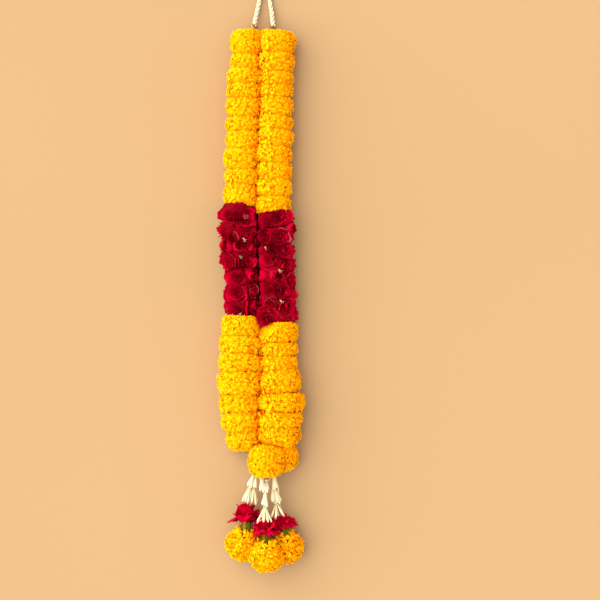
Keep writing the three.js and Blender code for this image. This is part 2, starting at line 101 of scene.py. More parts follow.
def squeezeIn(points, flats, layer):
    # what would cross a flat is pressed into a thin layer in front of it
    for flat in flats:
        normal = flat["normal"]
        room = points @ normal - flat["offset"] - flat["side"] * flat["waves"] * ripple(points)
        pressed = np.where(room < layer, layer * np.exp(np.minimum(room - layer, 0) / layer), room)
        points = points + (pressed - room)[..., None] * normal
    return points


# A shell is a closed skin: its corners, its groups of faces, its marks (one number for a corner) and
# which corners are on a petal's thin rim
def gridFaces(index):
    return np.stack([index[:-1, :-1], index[1:, :-1], index[1:, 1:], index[:-1, 1:]], -1).reshape(-1, 4)


def thinSheets(grid, thickness, marks):
    # the front and the back of a petal meet in its rim
    count, rows, cols = grid.shape[:3]
    inner = (slice(None), slice(1, -1), slice(1, -1))
    normal = unit(np.cross(np.gradient(grid, axis=1), np.gradient(grid, axis=2)))
    front = grid.copy()
    front[inner] += normal[inner] * thickness / 2
    back = grid[inner] - normal[inner] * thickness / 2
    index = np.arange(rows * cols).reshape(rows, cols)
    under = index.copy()
    under[1:-1, 1:-1] = rows * cols + np.arange((rows - 2) * (cols - 2)).reshape(rows - 2, cols - 2)
    rim = np.ones((rows, cols), bool)
    rim[1:-1, 1:-1] = False

    corners = np.concatenate([front.reshape(count, -1, 3), back.reshape(count, -1, 3)], axis=1)
    faces = np.concatenate([gridFaces(index), gridFaces(under)[:, ::-1]])
    faces = faces[None] + (np.arange(count) * corners.shape[1])[:, None, None]

    def spread(values):
        full = np.broadcast_to(values, (count, rows, cols))
        return np.concatenate([full.reshape(count, -1), full[inner].reshape(count, -1)], axis=1).ravel()

    return {"corners": corners.reshape(-1, 3), "faces": [faces.reshape(-1, 4)], "rim": spread(rim),
            "marks": {name: spread(values) for name, values in marks.items()}}


def closedTube(rings, marks):
    rows, sides = rings.shape[:2]
    index = np.arange(rows * sides).reshape(rows, sides)
    after = np.roll(index, -1, axis=1)
    wall = np.stack([index[:-1], after[:-1], after[1:], index[1:]], -1).reshape(-1, 4)
    ends = np.stack([index[0, ::-1], index[-1]])
    spread = {name: np.broadcast_to(values, (rows, sides)).ravel() for name, values in marks.items()}
    return {"corners": rings.reshape(-1, 3), "faces": [wall, ends], "rim": np.zeros(rows * sides, bool),
            "marks": spread}


def tubeRings(line, radius, sides):
    # rings square to a line of points; their first direction is carried along without a twist
    ahead = unit(np.gradient(line, axis=0))
    side = sideOf(ahead[0])
    rings = []
    for here, forward, size in zip(line, ahead, np.broadcast_to(radius, (len(line), sides))):
        side = unit(side - forward * (side @ forward))
        rings.append(here + size[:, None] * fan(evenAngles(sides), forward, side))
    return np.array(rings)


def remark(shell, low, high, tint=None):
    # a shell keeps to a part of its color ramp, and may get one tint
    shell["marks"]["along"] = low + (high - low) * shell["marks"]["along"]
    if tint is not None:
        shell["marks"]["tint"] = np.full(len(shell["corners"]), tint)
    return shell


def readAll(items, name, width=3, kind=np.float32):
    values = np.empty(len(items) * width, kind)
    items.foreach_get(name, values)
    return values.reshape(-1, width)


def softShading(mesh, centre, axis, share):
    # thin petals let light through, so they are shaded partly as the round head that they make up
    normals = readAll(mesh.corner_normals, "vector")
    corner = readAll(mesh.loops, "vertex_index", 1, np.int32)[:, 0]
    reach = readAll(mesh.vertices, "co")[corner] - centre
    outward = unit(reach - (reach @ axis)[:, None] * axis)
    turned = (normals * outward).sum(1, keepdims=True) > -0.3
    mesh.normals_split_custom_set(unit(normals + share * turned * outward))


triangleCounts = {}


def newPiece(name, shells, material, nodes=(), soft=None):
    starts = np.cumsum([0] + [len(shell["corners"]) for shell in shells])
    corners = np.concatenate([shell["corners"] for shell in shells])
    groups = [group + start for shell, start in zip(shells, starts) for group in shell["faces"]]
    corner = np.concatenate([group.ravel() for group in groups])
    sizes = np.concatenate([np.full(len(group), group.shape[1]) for group in groups])
    triangleCounts[name] = int((sizes - 2).sum())
    mesh = bpy.data.meshes.new(name)
    for items, key, values, kind in ((mesh.vertices, "co", corners, np.float32),
                                     (mesh.loops, "vertex_index", corner, np.int32),
                                     (mesh.polygons, "loop_start", np.cumsum(sizes) - sizes, np.int32)):
        items.add(len(values))
        items.foreach_set(key, values.astype(kind).ravel())
    mesh.polygons.foreach_set("use_smooth", np.ones(len(sizes), bool))
    mesh.update(calc_edges=True)
    rim = np.concatenate([shell["rim"] for shell in shells])
    sharp = rim[readAll(mesh.edges, "vertices", 2, np.int32)].all(axis=1)
    mesh.attributes.new("sharp_edge", "BOOLEAN", "EDGE").data.foreach_set("value", sharp)
    for mark in shells[0]["marks"]:
        values = np.concatenate([shell["marks"][mark] for shell in shells])
        mesh.attributes.new(mark, "FLOAT", "POINT").data.foreach_set("value", values.astype(np.float32))
    if soft:
        softShading(mesh, *soft)
    mesh.materials.append(materials[material])
    piece = newObject(name, mesh)
    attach(piece, "root")
    if nodes:
        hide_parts(*nodes)


# Materials. Each has a color ramp over a mark of the mesh (its name) or over noise (its scale), then
# colors mixed in over further marks or noises: over what, the least and the most of it, and the color.
# The bump is the noise's scale, the strength and the height.
finishLook = {
    "marigoldPetal": {
        "ramp": [(0, (0.80, 0.23, 0)), (0.3, (0.92, 0.295, 0)), (0.65, (0.92, 0.300, 0))],
        "mixes": [("tint", 0, 0.25, (0.92, 0.27, 0)), (42, 0, 0.5, (0.93, 0.35, 0))],
        "bump": (900, 0.1, 0.0005),
        "surface": {"Roughness": 0.7, "Specular IOR Level": 0.02, "Subsurface Weight": 0.5,
                    "Subsurface Scale": 0.0035, "Subsurface Radius": (1, 0.9, 0.15)},
    },
    "rosePetal": {
        # from a petal's foot to its rim; the dark low end, which the petals' feet and the cores have, is
        # painted shade deep inside and between the roses
        "ramp": [(0, (0.17, 0, 0.005)), (0.45, (0.38, 0, 0.012)), (0.85, (0.43, 0, 0.016)),
                 (1, (0.47, 0, 0.020))],
        # the tint darkens petals at random, and the inner petals of a rose's heart more, as painted shade
        "mixes": [("tint", 0, 1, (0.60, 0.5, 0.55), "MULTIPLY"), (160, 0, 1, (0.76, 0.7, 0.75), "MULTIPLY"),
                  ("pale", -3, 0.8, (0.52, 0.20, 0.18))],
        "bump": (700, 0.12, 0.0006),
        "surface": {"Roughness": 0.65, "Specular IOR Level": 0.02},
    },
    "creamBud": {
        "ramp": [(0, (0.07, 0.06, 0.014)), (0.05, (0.31, 0.21, 0.045)), (0.12, (0.50, 0.37, 0.15)),
                 (0.3, (0.64, 0.49, 0.27)), (0.85, (0.66, 0.54, 0.34)), (1, (0.62, 0.46, 0.26))],
        "mixes": [("tint", 0, 0.4, (0.68, 0.55, 0.36)), (260, 0, 0.3, (0.60, 0.53, 0.36))],
        "bump": (500, 0.2, 0.0005),
        "surface": {"Roughness": 0.45, "Specular IOR Level": 0.3, "Subsurface Weight": 0.6,
                    "Subsurface Scale": 0.006, "Subsurface Radius": (1, 0.75, 0.4)},
    },
    "greenCup": {
        "ramp": [(0, (0.045, 0.034, 0)), (0.5, (0.100, 0.078, 0.001)), (1, (0.160, 0.132, 0.002))],
        # a paler olive over the tint; on the cups the tint is high on the rib crests, a painted highlight
        "mixes": [("tint", 0, 0.35, (0.34, 0.30, 0.014)), (150, 0, 0.7, (0.065, 0.044, 0))],
        "bump": (800, 0.3, 0.0005),
        "surface": {"Roughness": 0.55, "Specular IOR Level": 0.08, "Subsurface Weight": 0.1,
                    "Subsurface Scale": 0.002},
    },
    "dryCup": {
        "ramp": [(0, (0.38, 0.15, 0.015)), (0.6, (0.20, 0.075, 0.01)), (1, (0.075, 0.037, 0.007))],
        "mixes": [(300, 0, 0.5, (0.12, 0.065, 0.01))],
        "bump": (800, 0.3, 0.0005),
        "surface": {"Roughness": 0.6, "Specular IOR Level": 0.2},
    },
    "cottonThread": {
        "over": 1400,
        "detail": 5,
        "ramp": [(0.3, (0.25, 0.18, 0.09)), (0.7, (0.46, 0.37, 0.22))],
        "bump": (1400, 0.6, 0.0004),
        "surface": {"Roughness": 0.9, "Specular IOR Level": 0.15, "Sheen Weight": 0.3},
    },
    "paleFloor": {
        "over": 1.2,
        "detail": 2,
        "ramp": [(0.3, (0.295, 0.184, 0.087)), (0.7, (0.303, 0.190, 0.091))],
        "surface": {"Roughness": 0.9, "Specular IOR Level": 0.1},
    },
}


def newFinish(name):
    look = finishLook[name]
    material = bpy.data.materials.new(name)
    material.use_nodes = True
    nodes, wire = material.node_tree.nodes, material.node_tree.links.new
    shader = nodes["Principled BSDF"]

    def add(kind, **values):
        node = nodes.new("ShaderNode" + kind)
        for socket, value in values.items():
            node.inputs[socket].default_value = value
        return node

    def source(what):
        if isinstance(what, str):
            node = add("Attribute")
            node.attribute_name = what
        else:
            node = add("TexNoise", Scale=what, Detail=look.get("detail", 3))
            wire(add("TexCoord").outputs["Object"], node.inputs["Vector"])
        return node.outputs["Fac"]

    ramp = add("ValToRGB")
    while len(ramp.color_ramp.elements) < len(look["ramp"]):
        ramp.color_ramp.elements.new(0.5)
    for element, (place, color) in zip(ramp.color_ramp.elements, look["ramp"]):
        element.position = place
        element.color = (*color, 1)
    wire(source(look.get("over", "along")), ramp.inputs["Fac"])
    mixed = ramp.outputs["Color"]
    for what, low, high, color, *how in look.get("mixes", []):
        share = add("MapRange")
        share.inputs["To Min"].default_value = low
        share.inputs["To Max"].default_value = high
        wire(source(what), share.inputs["Value"])
        mix = add("Mix")  # its sockets: 0 is the share, 6 and 7 are the colors
        mix.data_type = "RGBA"
        mix.blend_type = how[0] if how else "MIX"
        mix.inputs[7].default_value = (*color, 1)
        wire(share.outputs["Result"], mix.inputs[0])
        wire(mixed, mix.inputs[6])
        mixed = mix.outputs[2]
    wire(mixed, shader.inputs["Base Color"])
    if "bump" in look:
        scale, strength, height = look["bump"]
        bump = add("Bump", Strength=strength, Distance=height)
        wire(source(scale), bump.inputs["Height"])
        wire(bump.outputs["Normal"], shader.inputs["Normal"])
    for socket, value in look["surface"].items():
        shader.inputs[socket].default_value = value
    return material


materials = {name: newFinish(name) for name in finishLook}
print("materials ready")


# the places of all flowers, read from the frame
restShare = 0.85  # height of a rope flower's axis, as a share of its radius
touchGap = 0.2 * mm
floorGap = 0.35 * mm
meshing = 1.0 * mm  # how far the petals of neighbours reach between each other
# how far the petals of the first flowers reach past the place where they meet the second; the upper
# left marigolds spread over the seam
laps = [
    ("marigold_left_upper", "marigold_right_upper", 4.6 * mm),
    ("marigold_right_upper", "marigold_left_upper", -1.4 * mm),
    ("marigold", "marigold", 1.6 * mm),
    ("marigold_left_upper", "roses", 2.6 * mm),
    ("marigold_right_upper", "roses", 2.6 * mm),
    ("marigold_left_lower", "roses", -3.0 * mm),
    ("marigold_right_lower", "roses", -0.5 * mm),
]
nearby = 1.4  # flowers farther apart than this share of their reaches don't touch
ropes = {
    "left": {"sign": -1, "upper": 10, "lower": 7, "topShare": 0.86},
    "right": {"sign": 1, "upper": 11, "lower": 8, "topShare": 0.72},
}
ringsInBunch = [2, 2, 3]


def newFlat(normal, offset, other="floor", side=1, waves=0.0):
    return {"normal": np.array(normal, float), "offset": offset, "from": other, "side": side,
            "waves": waves}


floorFlat = newFlat([0, 0, 1], floorGap)


def newFlower(name, centre, enter, leave, radius, sign=0, topShare=1):
    return {"name": name, "centre": centre, "enter": enter, "leave": leave, "axis": unit(leave - enter),
            "radius": radius, "half": np.linalg.norm(leave - enter) / 2, "sign": sign,
            "topShare": topShare, "flats": [floorFlat]}


def ofKind(flowers, kind):
    return [flower for flower in flowers if flower["name"].startswith(kind)]


def ropeSpot(node, sign):
    low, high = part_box(node)
    radius = high.z / (1 + restShare)
    x = low.x + radius if sign < 0 else high.x - radius
    return {"name": node, "x": x, "top": high.y, "foot": low.y, "radius": radius}


def ringSpots(side, sign, above, below):
    spots = []
    rings = sum(ringsInBunch)
    pitch = (above["foot"] - below["top"]) / rings
    seamAbove = above["x"] - sign * above["radius"]
    seamBelow = below["x"] - sign * below["radius"]
    for bunch, members in enumerate(ringsInBunch):
        node = f"roses_{side}_{bunch + 1}"
        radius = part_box(node)[1].z / (1 + restShare)
        for member in range(members):
            top = above["foot"] - pitch * len(spots)
            seam = seamAbove + (seamBelow - seamAbove) * (len(spots) + 0.5) / rings
            spots.append({"name": f"{node}.{member}", "x": seam + sign * radius, "top": top,
                          "foot": top - pitch, "radius": radius})
    return spots


def ropeFlowers(side):
    sign, topShare = ropes[side]["sign"], ropes[side]["topShare"]
    upper, lower = [[ropeSpot(f"marigold_{side}_{part}_{k + 1}", sign) for k in range(ropes[side][part])]
                    for part in ("upper", "lower")]
    stack = [*upper, *ringSpots(side, sign, upper[-1], lower[0]), *lower]
    centres = [np.array([s["x"], (s["top"] + s["foot"]) / 2, restShare * s["radius"]]) for s in stack]
    halves = [(s["top"] - s["foot"]) / 2 for s in stack]
    stops = [centres[0] + [0, halves[0], 0]]
    for k in range(1, len(stack)):
        share = halves[k - 1] / (halves[k - 1] + halves[k])
        stops.append(centres[k - 1] + (centres[k] - centres[k - 1]) * share)
    stops.append(centres[-1] + unit(centres[-1] - stops[-1]) * halves[-1])
    return [newFlower(s["name"], centres[k], stops[k], stops[k + 1], s["radius"], sign, topShare)
            for k, s in enumerate(stack)]


def reachToward(flower, direction):
    share = flower["axis"] @ direction
    return math.hypot(flower["radius"] * math.sqrt(max(0, 1 - share * share)), flower["half"] * share)


def lapOver(flower, other):
    for mine, its, lap in laps:
        if flower["name"].startswith(mine) and other["name"].startswith(its):
            return lap
    return 0


def pressTogether(a, b):
    line = b["centre"] - a["centre"]
    distance = np.linalg.norm(line)
    direction = line / distance
    reachA, reachB = reachToward(a, direction), reachToward(b, direction)
    if distance > nearby * (reachA + reachB):
        return
    meet = distance * reachA / (reachA + reachB)
    place = direction @ (a["centre"] + direction * meet)
    a["flats"].insert(0, newFlat(-direction, -place - lapOver(a, b), b["name"], -1, meshing))
    b["flats"].insert(0, newFlat(direction, place - lapOver(b, a), a["name"], 1, meshing))


# the zero of the given points: where the ropes end, found from the top of the neck loop
loopPeak = np.array([8.5, 778, 5.0]) * mm
loopRadius = 5.5 * mm
threadRadius = 1.0 * mm
ropeEnd = np.array([
    (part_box("neck_string_left")[1].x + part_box("neck_string_right")[0].x) / 2 - loopPeak[0],
    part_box("garland_thread")[1].y - loopPeak[1] - loopRadius - threadRadius,
    0.0,
])


def spot(x, y, z):
    return np.array([x, y, z]) * mm + ropeEnd


# the tassel's strands: cord, rose from foot to face, neck of the green cup, head, and whorls of buds,
# each with its start, its end and how far it opens
strandLook = {
    "left": {
        "cord": [spot(9.3, -6.1, 45.6), spot(3, 0, 41), spot(-6, 0, 38), spot(-14, -18, 32),
                 spot(-18, -31, 24)],
        "rose": [spot(-19.2, -43, 18), spot(-19.2, -69.5, 28)],
        "roseRadius": 24 * mm, "roseDrop": 6 * mm, "roseTilt": 0.0, "roseSpan": 0.96,
        "neck": spot(-19.5, -72.5, 30.5), "cupRadius": 7.6 * mm,
        "lean": (0.08, 0.93, 0.35), "head": spot(-22.4, -110.5, 25), "headRadius": 29.3 * mm,
        "whorls": [
            (spot(-7.5, 3, 41), spot(-14.5, -18, 34), 0.10),
            (spot(-13.8, -16, 34), spot(-21.5, -44, 25), 0.20),
            (spot(-3.5, 3, 38), spot(-6.9, -20, 32), 0.09),
            (spot(-6.9, -19, 32), spot(-10, -46, 25), 0.17),
        ],
    },
    "right": {
        "cord": [spot(16.7, -6.1, 45.6), spot(20, 0, 42), spot(26, -1, 39), spot(31.5, -22, 31),
                 spot(32, -42, 21)],
        "rose": [spot(37.5, -60, 15), spot(40.5, -83, 23)],
        "roseRadius": 20 * mm, "roseDrop": 4 * mm, "roseTilt": -0.30, "roseSpan": 0.94,
        "neck": spot(41.3, -86, 25.5), "cupRadius": 7.2 * mm,
        "lean": (-0.08, 0.93, 0.36), "head": spot(44.6, -116, 24), "headRadius": 27 * mm,
        "whorls": [
            (spot(24, 2, 41), spot(27, -22, 33), 0.09),
            (spot(26.8, -20.5, 33), spot(31.5, -46, 24), 0.13),
            (spot(23, -18, 31), spot(25, -44, 25), 0.10),
            (spot(28.5, -44.5, 25), spot(33, -68, 36), 0.34),
        ],
    },
    "middle": {
        "cord": [spot(13, -9, 45.5), spot(10, -22, 44), spot(9, -45, 42), spot(11, -58, 42)],
        "rose": [spot(12, -68, 43), spot(12.2, -92, 48)],
        "roseRadius": 20 * mm, "roseDrop": -2.5 * mm, "roseTilt": 0.0, "roseSpan": 1.0,
        "neck": spot(11.2, -95, 50), "cupRadius": 6.6 * mm,
        "lean": (0, 0.98, 0.19), "head": spot(12.8, -125, 53), "headRadius": 27 * mm,
        "whorls": [
            (spot(5, 2, 43), spot(8, -24, 44), 0.09),
            (spot(13, -3, 43), spot(12.5, -25, 43), 0.09),
            (spot(11.5, -23, 45), spot(10.5, -48, 47), 0.12),
            (spot(10.4, -46.5, 47), spot(12.5, -73, 57), 0.36),
        ],
    },
}
headDepth = 0.86  # half the length of a hanging head along its axis, as a share of its radius

ropeLines = {side: ropeFlowers(side) for side in ropes}
joinBloom = newFlower("marigold_join", spot(12.8, 25.6, 50), spot(13, 0.5, 48), spot(12.8, 50.5, 51),
                      27.5 * mm)
flowers = [*ropeLines["left"], *ropeLines["right"], joinBloom]
for name, strand in strandLook.items():
    enter, leave = strand["rose"]
    head, radius = strand["head"], strand["headRadius"]
    strand["lean"] = unit(np.array(strand["lean"]))
    reach = headDepth * radius * strand["lean"]
    strand["roseFlower"] = newFlower(f"rose_tassel_{name}", (enter + leave) / 2, enter, leave,
                                     strand["roseRadius"])
    strand["headFlower"] = newFlower(f"marigold_tassel_{name}", head, head + reach, head - reach, radius)
    flowers += [strand["roseFlower"], strand["headFlower"]]
for i, first in enumerate(flowers):
    for second in flowers[i + 1:]:
        pressTogether(first, second)

# the lowest rose of the seam presses on the first marigold under it in each rope
seamRose = {"face": spot(11.4, 249, 47), "foot": spot(20, 256, 26), "radius": 14.5 * mm, "half": 9 * mm,
            "depth": 8 * mm, "openness": 0.9}
seamOut = unit(seamRose["face"] - seamRose["foot"])
lowestRose = newFlower("rose_seam", seamRose["face"], seamRose["face"] - seamOut * seamRose["half"],
                       seamRose["face"] + seamOut * seamRose["half"], seamRose["radius"])
for side, rope in ropeLines.items():
    pressTogether(lowestRose, rope[ropes[side]["upper"] + sum(ringsInBunch)])
print("places of", len(flowers), "flowers read")


# marigold heads
headLook = {
    "seed": 101,  # of the first head's draws
    "patch": 15.4 * mm * mm,  # surface that one floret covers
    "rows": np.array([0, 0.42, 0.72, 1]),  # a floret's rows, from root to end
    "cols": 5,
    "width": 3.6 * mm,  # half the width of a floret's ruffled end
    "breadth": (1.14, 0.80),  # a floret's width on a head's sides, and on the side that faces up
    "narrowWay": (0.25, 0, 1),
    "widths": (0.75, 1.2),  # least and most share of that width
    "claw": 1.1 * mm,  # half its width at the root
    "heartLong": 0.45,  # the heart that florets grow from, as shares of the head
    "heartWide": 0.12,
    "rootShare": 0.6,  # where it starts, on the way from the heart to its end
    "reach": (0.97, 1.07),  # how far out it ends, as shares of the radius
    "shift": 0.03,  # how far it leaves its even place along the head
    "scatter": 0.06,  # and round it, in radians
    "thickness": 0.45 * mm,
    "ruffle": 0.8 * mm,
    "ruffles": (0.6, 1.3),  # least and most share of that; the same for cups and notches
    "waves": (1.6, 3.0),  # how many waves its end has
    "cupping": 1.1 * mm,
    "cuppings": (0.2, 1.3),
    "notches": (0.5, 1.5),
    "bend": (0.9, 1.6),  # how far a floret's end bends over, in radians
    "core": 0.86,  # the core that closes the gaps between florets, as a share of the head
    # the core's place on the color ramp, a little darker orange than the petals: painted shade deep between
    # the florets
    "coreShadeTone": 0.2,
    "coreFall": 0.16,
    "seamBulge": 0.19,  # how much its core swells toward the other rope
    "seamRise": 0.45,  # and how steeply up or down
    "lumps": 1.1 * mm,
    "layer": 2.0 * mm,
    "overhang": 1.05,  # how far the outer petals reach over the next head
    "edgeFall": 0.29,  # how much lower a head is at its ends than in the middle
    "shoulder": 2.5,  # how square the free end of a head is; 2 is round
    "capFlorets": 150,  # florets on the end face of a rope's last flower
    "capFrom": 0.85,  # where the end face takes over, along half the flower's length
    "crowding": 0.18,  # how much the petals push up into the groove between the ropes
    "crowdRise": 0.7,  # and how steeply up
    "soft": 1.4,  # how far the petals are shaded as one round head
    "softAlong": 0.7,  # how much of that is round its axis only
}
joinLook = {**headLook, "seed": 300, "shoulder": 3.0}
# the heart of a hanging head lies toward its green cup; the cup's room stays free of florets, and
# longer ones make a collar round it
hangingLook = {**headLook, "seed": 310, "patch": 18 * mm * mm, "width": 3.8 * mm, "thickness": 0.5 * mm,
               "heartUp": 0.3, "heartWide": 0.05, "rootShare": 0.58, "reach": (0.9, 1.09), "core": 0.7,
               "cupRoom": 0.27, "collar": 0.26}
coreRings, coreSides = 13, 18  # of the mesh that fills a head or a ring of roses


def florets(flower, roots, tips, hint, outward, draw, look):
    # each floret runs outward and then bends over, so that its ruffled end faces outward
    ahead = unit(tips - roots)
    across = unit(hint - ahead * (hint * ahead).sum(1, keepdims=True))
    normal = np.cross(ahead, across)
    u = look["rows"][None, :, None]
    v = np.linspace(-1, 1, look["cols"])[None, None, :]

    def each(low, high):
        return draw.uniform(low, high, (len(tips), 1, 1))

    def along(direction, amount):
        return direction[:, None, None, :] * amount[..., None]

    # the bend is summed up in fine steps
    fine = np.linspace(0, 1, 31)[None, :, None]
    side = np.sign(each(-1, 1))
    bend = each(*look["bend"]) * smoothStep((fine - 0.25) / 0.7)
    out = np.cumsum(np.cos(bend), axis=1) / fine.size
    over = np.cumsum(np.sin(bend), axis=1) / fine.size
    length = np.linalg.norm(tips - roots, axis=1)[:, None, None] / out.max(axis=1, keepdims=True)
    rows = np.round(look["rows"] * (fine.size - 1)).astype(int)
    bend, out, over = bend[:, rows] * side, out[:, rows], over[:, rows] * side

    # those that face up are narrow, those on a head's sides are broad
    up = smoothStep(outward @ unit(np.array(look["narrowWay"])) * 1.6 - 0.6)
    breadth = look["breadth"][0] + (look["breadth"][1] - look["breadth"][0]) * up
    wide = look["width"] * each(*look["widths"]) * breadth[:, None, None]
    width = look["claw"] + (wide - look["claw"]) * smoothStep(u / 0.75)
    waves = each(*look["waves"])
    phase = each(0, 2 * math.pi)
    rise = look["ruffle"] * each(*look["ruffles"]) * u ** 2 * np.sin(math.pi * waves * v + phase)
    rise = rise - look["cupping"] * each(*look["cuppings"]) * v ** 2 * u
    notch = 0.10 * each(*look["notches"]) * (1 - np.cos(math.pi * waves * v + phase + 0.8))
    notch = notch + 0.16 * v ** 2
    short = length * notch * 0.7 * u ** 4
    forward = length * out - np.sin(bend) * rise - np.cos(bend) * short
    sideways = length * over + np.cos(bend) * rise - np.sin(bend) * short
    grid = roots[:, None, None, :] + along(ahead, forward) + along(across, width * v)
    grid = squeezeIn(grid + along(normal, sideways), flower["flats"], look["layer"])
    return thinSheets(grid, look["thickness"], {"along": u, "tint": each(0, 1)})


def headOutline(level, domed, power, fall):
    # a head's radius along its axis: a dome at a free end, else a little lower toward the next head
    dome = (1 - np.minimum(np.abs(level), 1) ** power) ** (1 / power)
    return np.where(domed, dome, 1 - fall)


def headCore(flower, look, domedEnter=False, domedLeave=False):
    levels = np.linspace(-1, 1, coreRings)
    domed = np.where(levels < 0, domedEnter, domedLeave)
    outline = headOutline(levels * 0.95, domed, look["shoulder"], look["coreFall"] * np.abs(levels) ** 6)
    around = fan(evenAngles(coreSides), flower["axis"])
    fullTo = np.where(levels < 0, flower["topShare"], 1)
    shorter = np.where(domed, 0.85 * look["core"] * fullTo, 1)
    middle = flower["centre"] + (levels * shorter)[:, None] * flower["half"] * flower["axis"]
    reach = look["core"] * flower["radius"] * outline
    seamward = unit(np.array([-flower["sign"], 0, look["seamRise"]]))
    bulge = 1 + abs(flower["sign"]) * look["seamBulge"] * smoothStep(around @ seamward * 3 - 2)
    rings = middle[:, None, :] + (reach[:, None] * bulge)[..., None] * around[None]
    rings = rings + look["lumps"] * ripple(rings)[..., None] * around[None]
    rings = squeezeIn(rings, flower["flats"], look["layer"])
    # a core's color is painted shade deep between the petals; a rose core's fixed tint darkens it further
    return closedTube(rings, {"along": look["coreShadeTone"], "tint": 0.3, "pale": 0.0})


def ropeHead(flower, seed, domedEnter, domedLeave, look=headLook):
    draw = newDraw(seed)
    axis, half, radius, power = flower["axis"], flower["half"], flower["radius"], look["shoulder"]
    count = int(2 * math.pi * radius * 2 * half / look["patch"])
    level = -1 + 2 * (np.arange(count) + 0.5) / count + draw.uniform(-look["shift"], look["shift"], count)
    for end, free in ((-1, domedEnter), (1, domedLeave)):
        if free:
            # the end face: evenly from its middle to its edge
            level = level[level * end < look["capFrom"]]
            across = np.sqrt((np.arange(look["capFlorets"]) + 0.5) / look["capFlorets"])
            level = np.append(level, end * (1 - across ** power) ** (1 / power))
        else:
            level = np.where(level * end > 0, level * look["overhang"], level)
    count = len(level)
    angle = np.arange(count) * goldenAngle + draw.uniform(0, 6) + draw.normal(0, look["scatter"], count)
    radial = fan(angle, axis)
    domed = np.where(level < 0, domedEnter, domedLeave)
    height = level * half * np.where(domedEnter & (level < 0), flower["topShare"], 1)
    onAxis = flower["centre"] + height[:, None] * axis
    outline = headOutline(level, domed, power, look["edgeFall"] * level ** 4)
    reach = radius * outline * draw.uniform(*look["reach"], count)
    groove = unit(np.array([-flower["sign"], 0, look["crowdRise"]]))
    reach = reach * (1 + look["crowding"] * abs(flower["sign"]) * smoothStep(radial @ groove * 2 - 1))
    tips = onAxis + radial * reach[:, None]
    lengthwise = (look["heartLong"] * level * half)[:, None] * axis
    hearts = flower["centre"] + lengthwise + radial * (look["heartWide"] * radius)
    roots = hearts + (tips - hearts) * look["rootShare"]
    hint = fan(draw.uniform(0, math.pi, count), unit(roots - tips), np.cross(axis, radial))
    petals = florets(flower, roots, tips, hint, radial, draw, look)
    return [petals, headCore(flower, look, domedEnter, domedLeave)]


def hangingHead(flower, seed, look=hangingLook):
    # florets fan out from the green cup's base, on the side where the axis comes in
    draw = newDraw(seed)
    axis, radius = flower["axis"], flower["radius"]
    count = int(4 * math.pi * radius ** 2 / look["patch"])
    place = np.arange(count) + 0.5
    height = 1 - 2 * place / count  # 1 is at the cup
    keep = height < math.cos(look["cupRoom"])
    height, place = height[keep], place[keep]
    count = len(height)
    radial = fan(place * goldenAngle, axis)
    outward = radial * np.sqrt(1 - height ** 2)[:, None] - axis * (height * headDepth)[:, None]
    collar = 1 + look["collar"] * smoothStep((height - 0.75) / 0.2)
    reach = radius * draw.uniform(*look["reach"], count) * collar
    tips = flower["centre"] + outward * reach[:, None]
    hearts = flower["centre"] - axis * (look["heartUp"] * radius) + outward * (look["heartWide"] * radius)
    roots = hearts + (tips - hearts) * look["rootShare"]
    hint = fan(draw.uniform(0, math.pi, count), -unit(outward), np.cross(axis, radial))
    petals = florets(flower, roots, tips, hint, unit(outward), draw, look)
    return [petals, headCore(flower, look, True, True)]


heads = []
for rope in ropeLines.values():
    for flower in ofKind(rope, "marigold"):
        shells = ropeHead(flower, headLook["seed"] + len(heads), flower is rope[0], flower is rope[-1])
        heads.append((flower, shells))
heads.append((joinBloom, ropeHead(joinBloom, joinLook["seed"], True, True, joinLook)))
for k, strand in enumerate(strandLook.values()):
    heads.append((strand["headFlower"], hangingHead(strand["headFlower"], hangingLook["seed"] + k)))
for flower, shells in heads:
    name = flower["name"]
    soft = flower["centre"], flower["axis"] * headLook["softAlong"], headLook["soft"]
    newPiece(f"petals_{name}", shells, "marigoldPetal", [name], soft)
print("marigolds made")


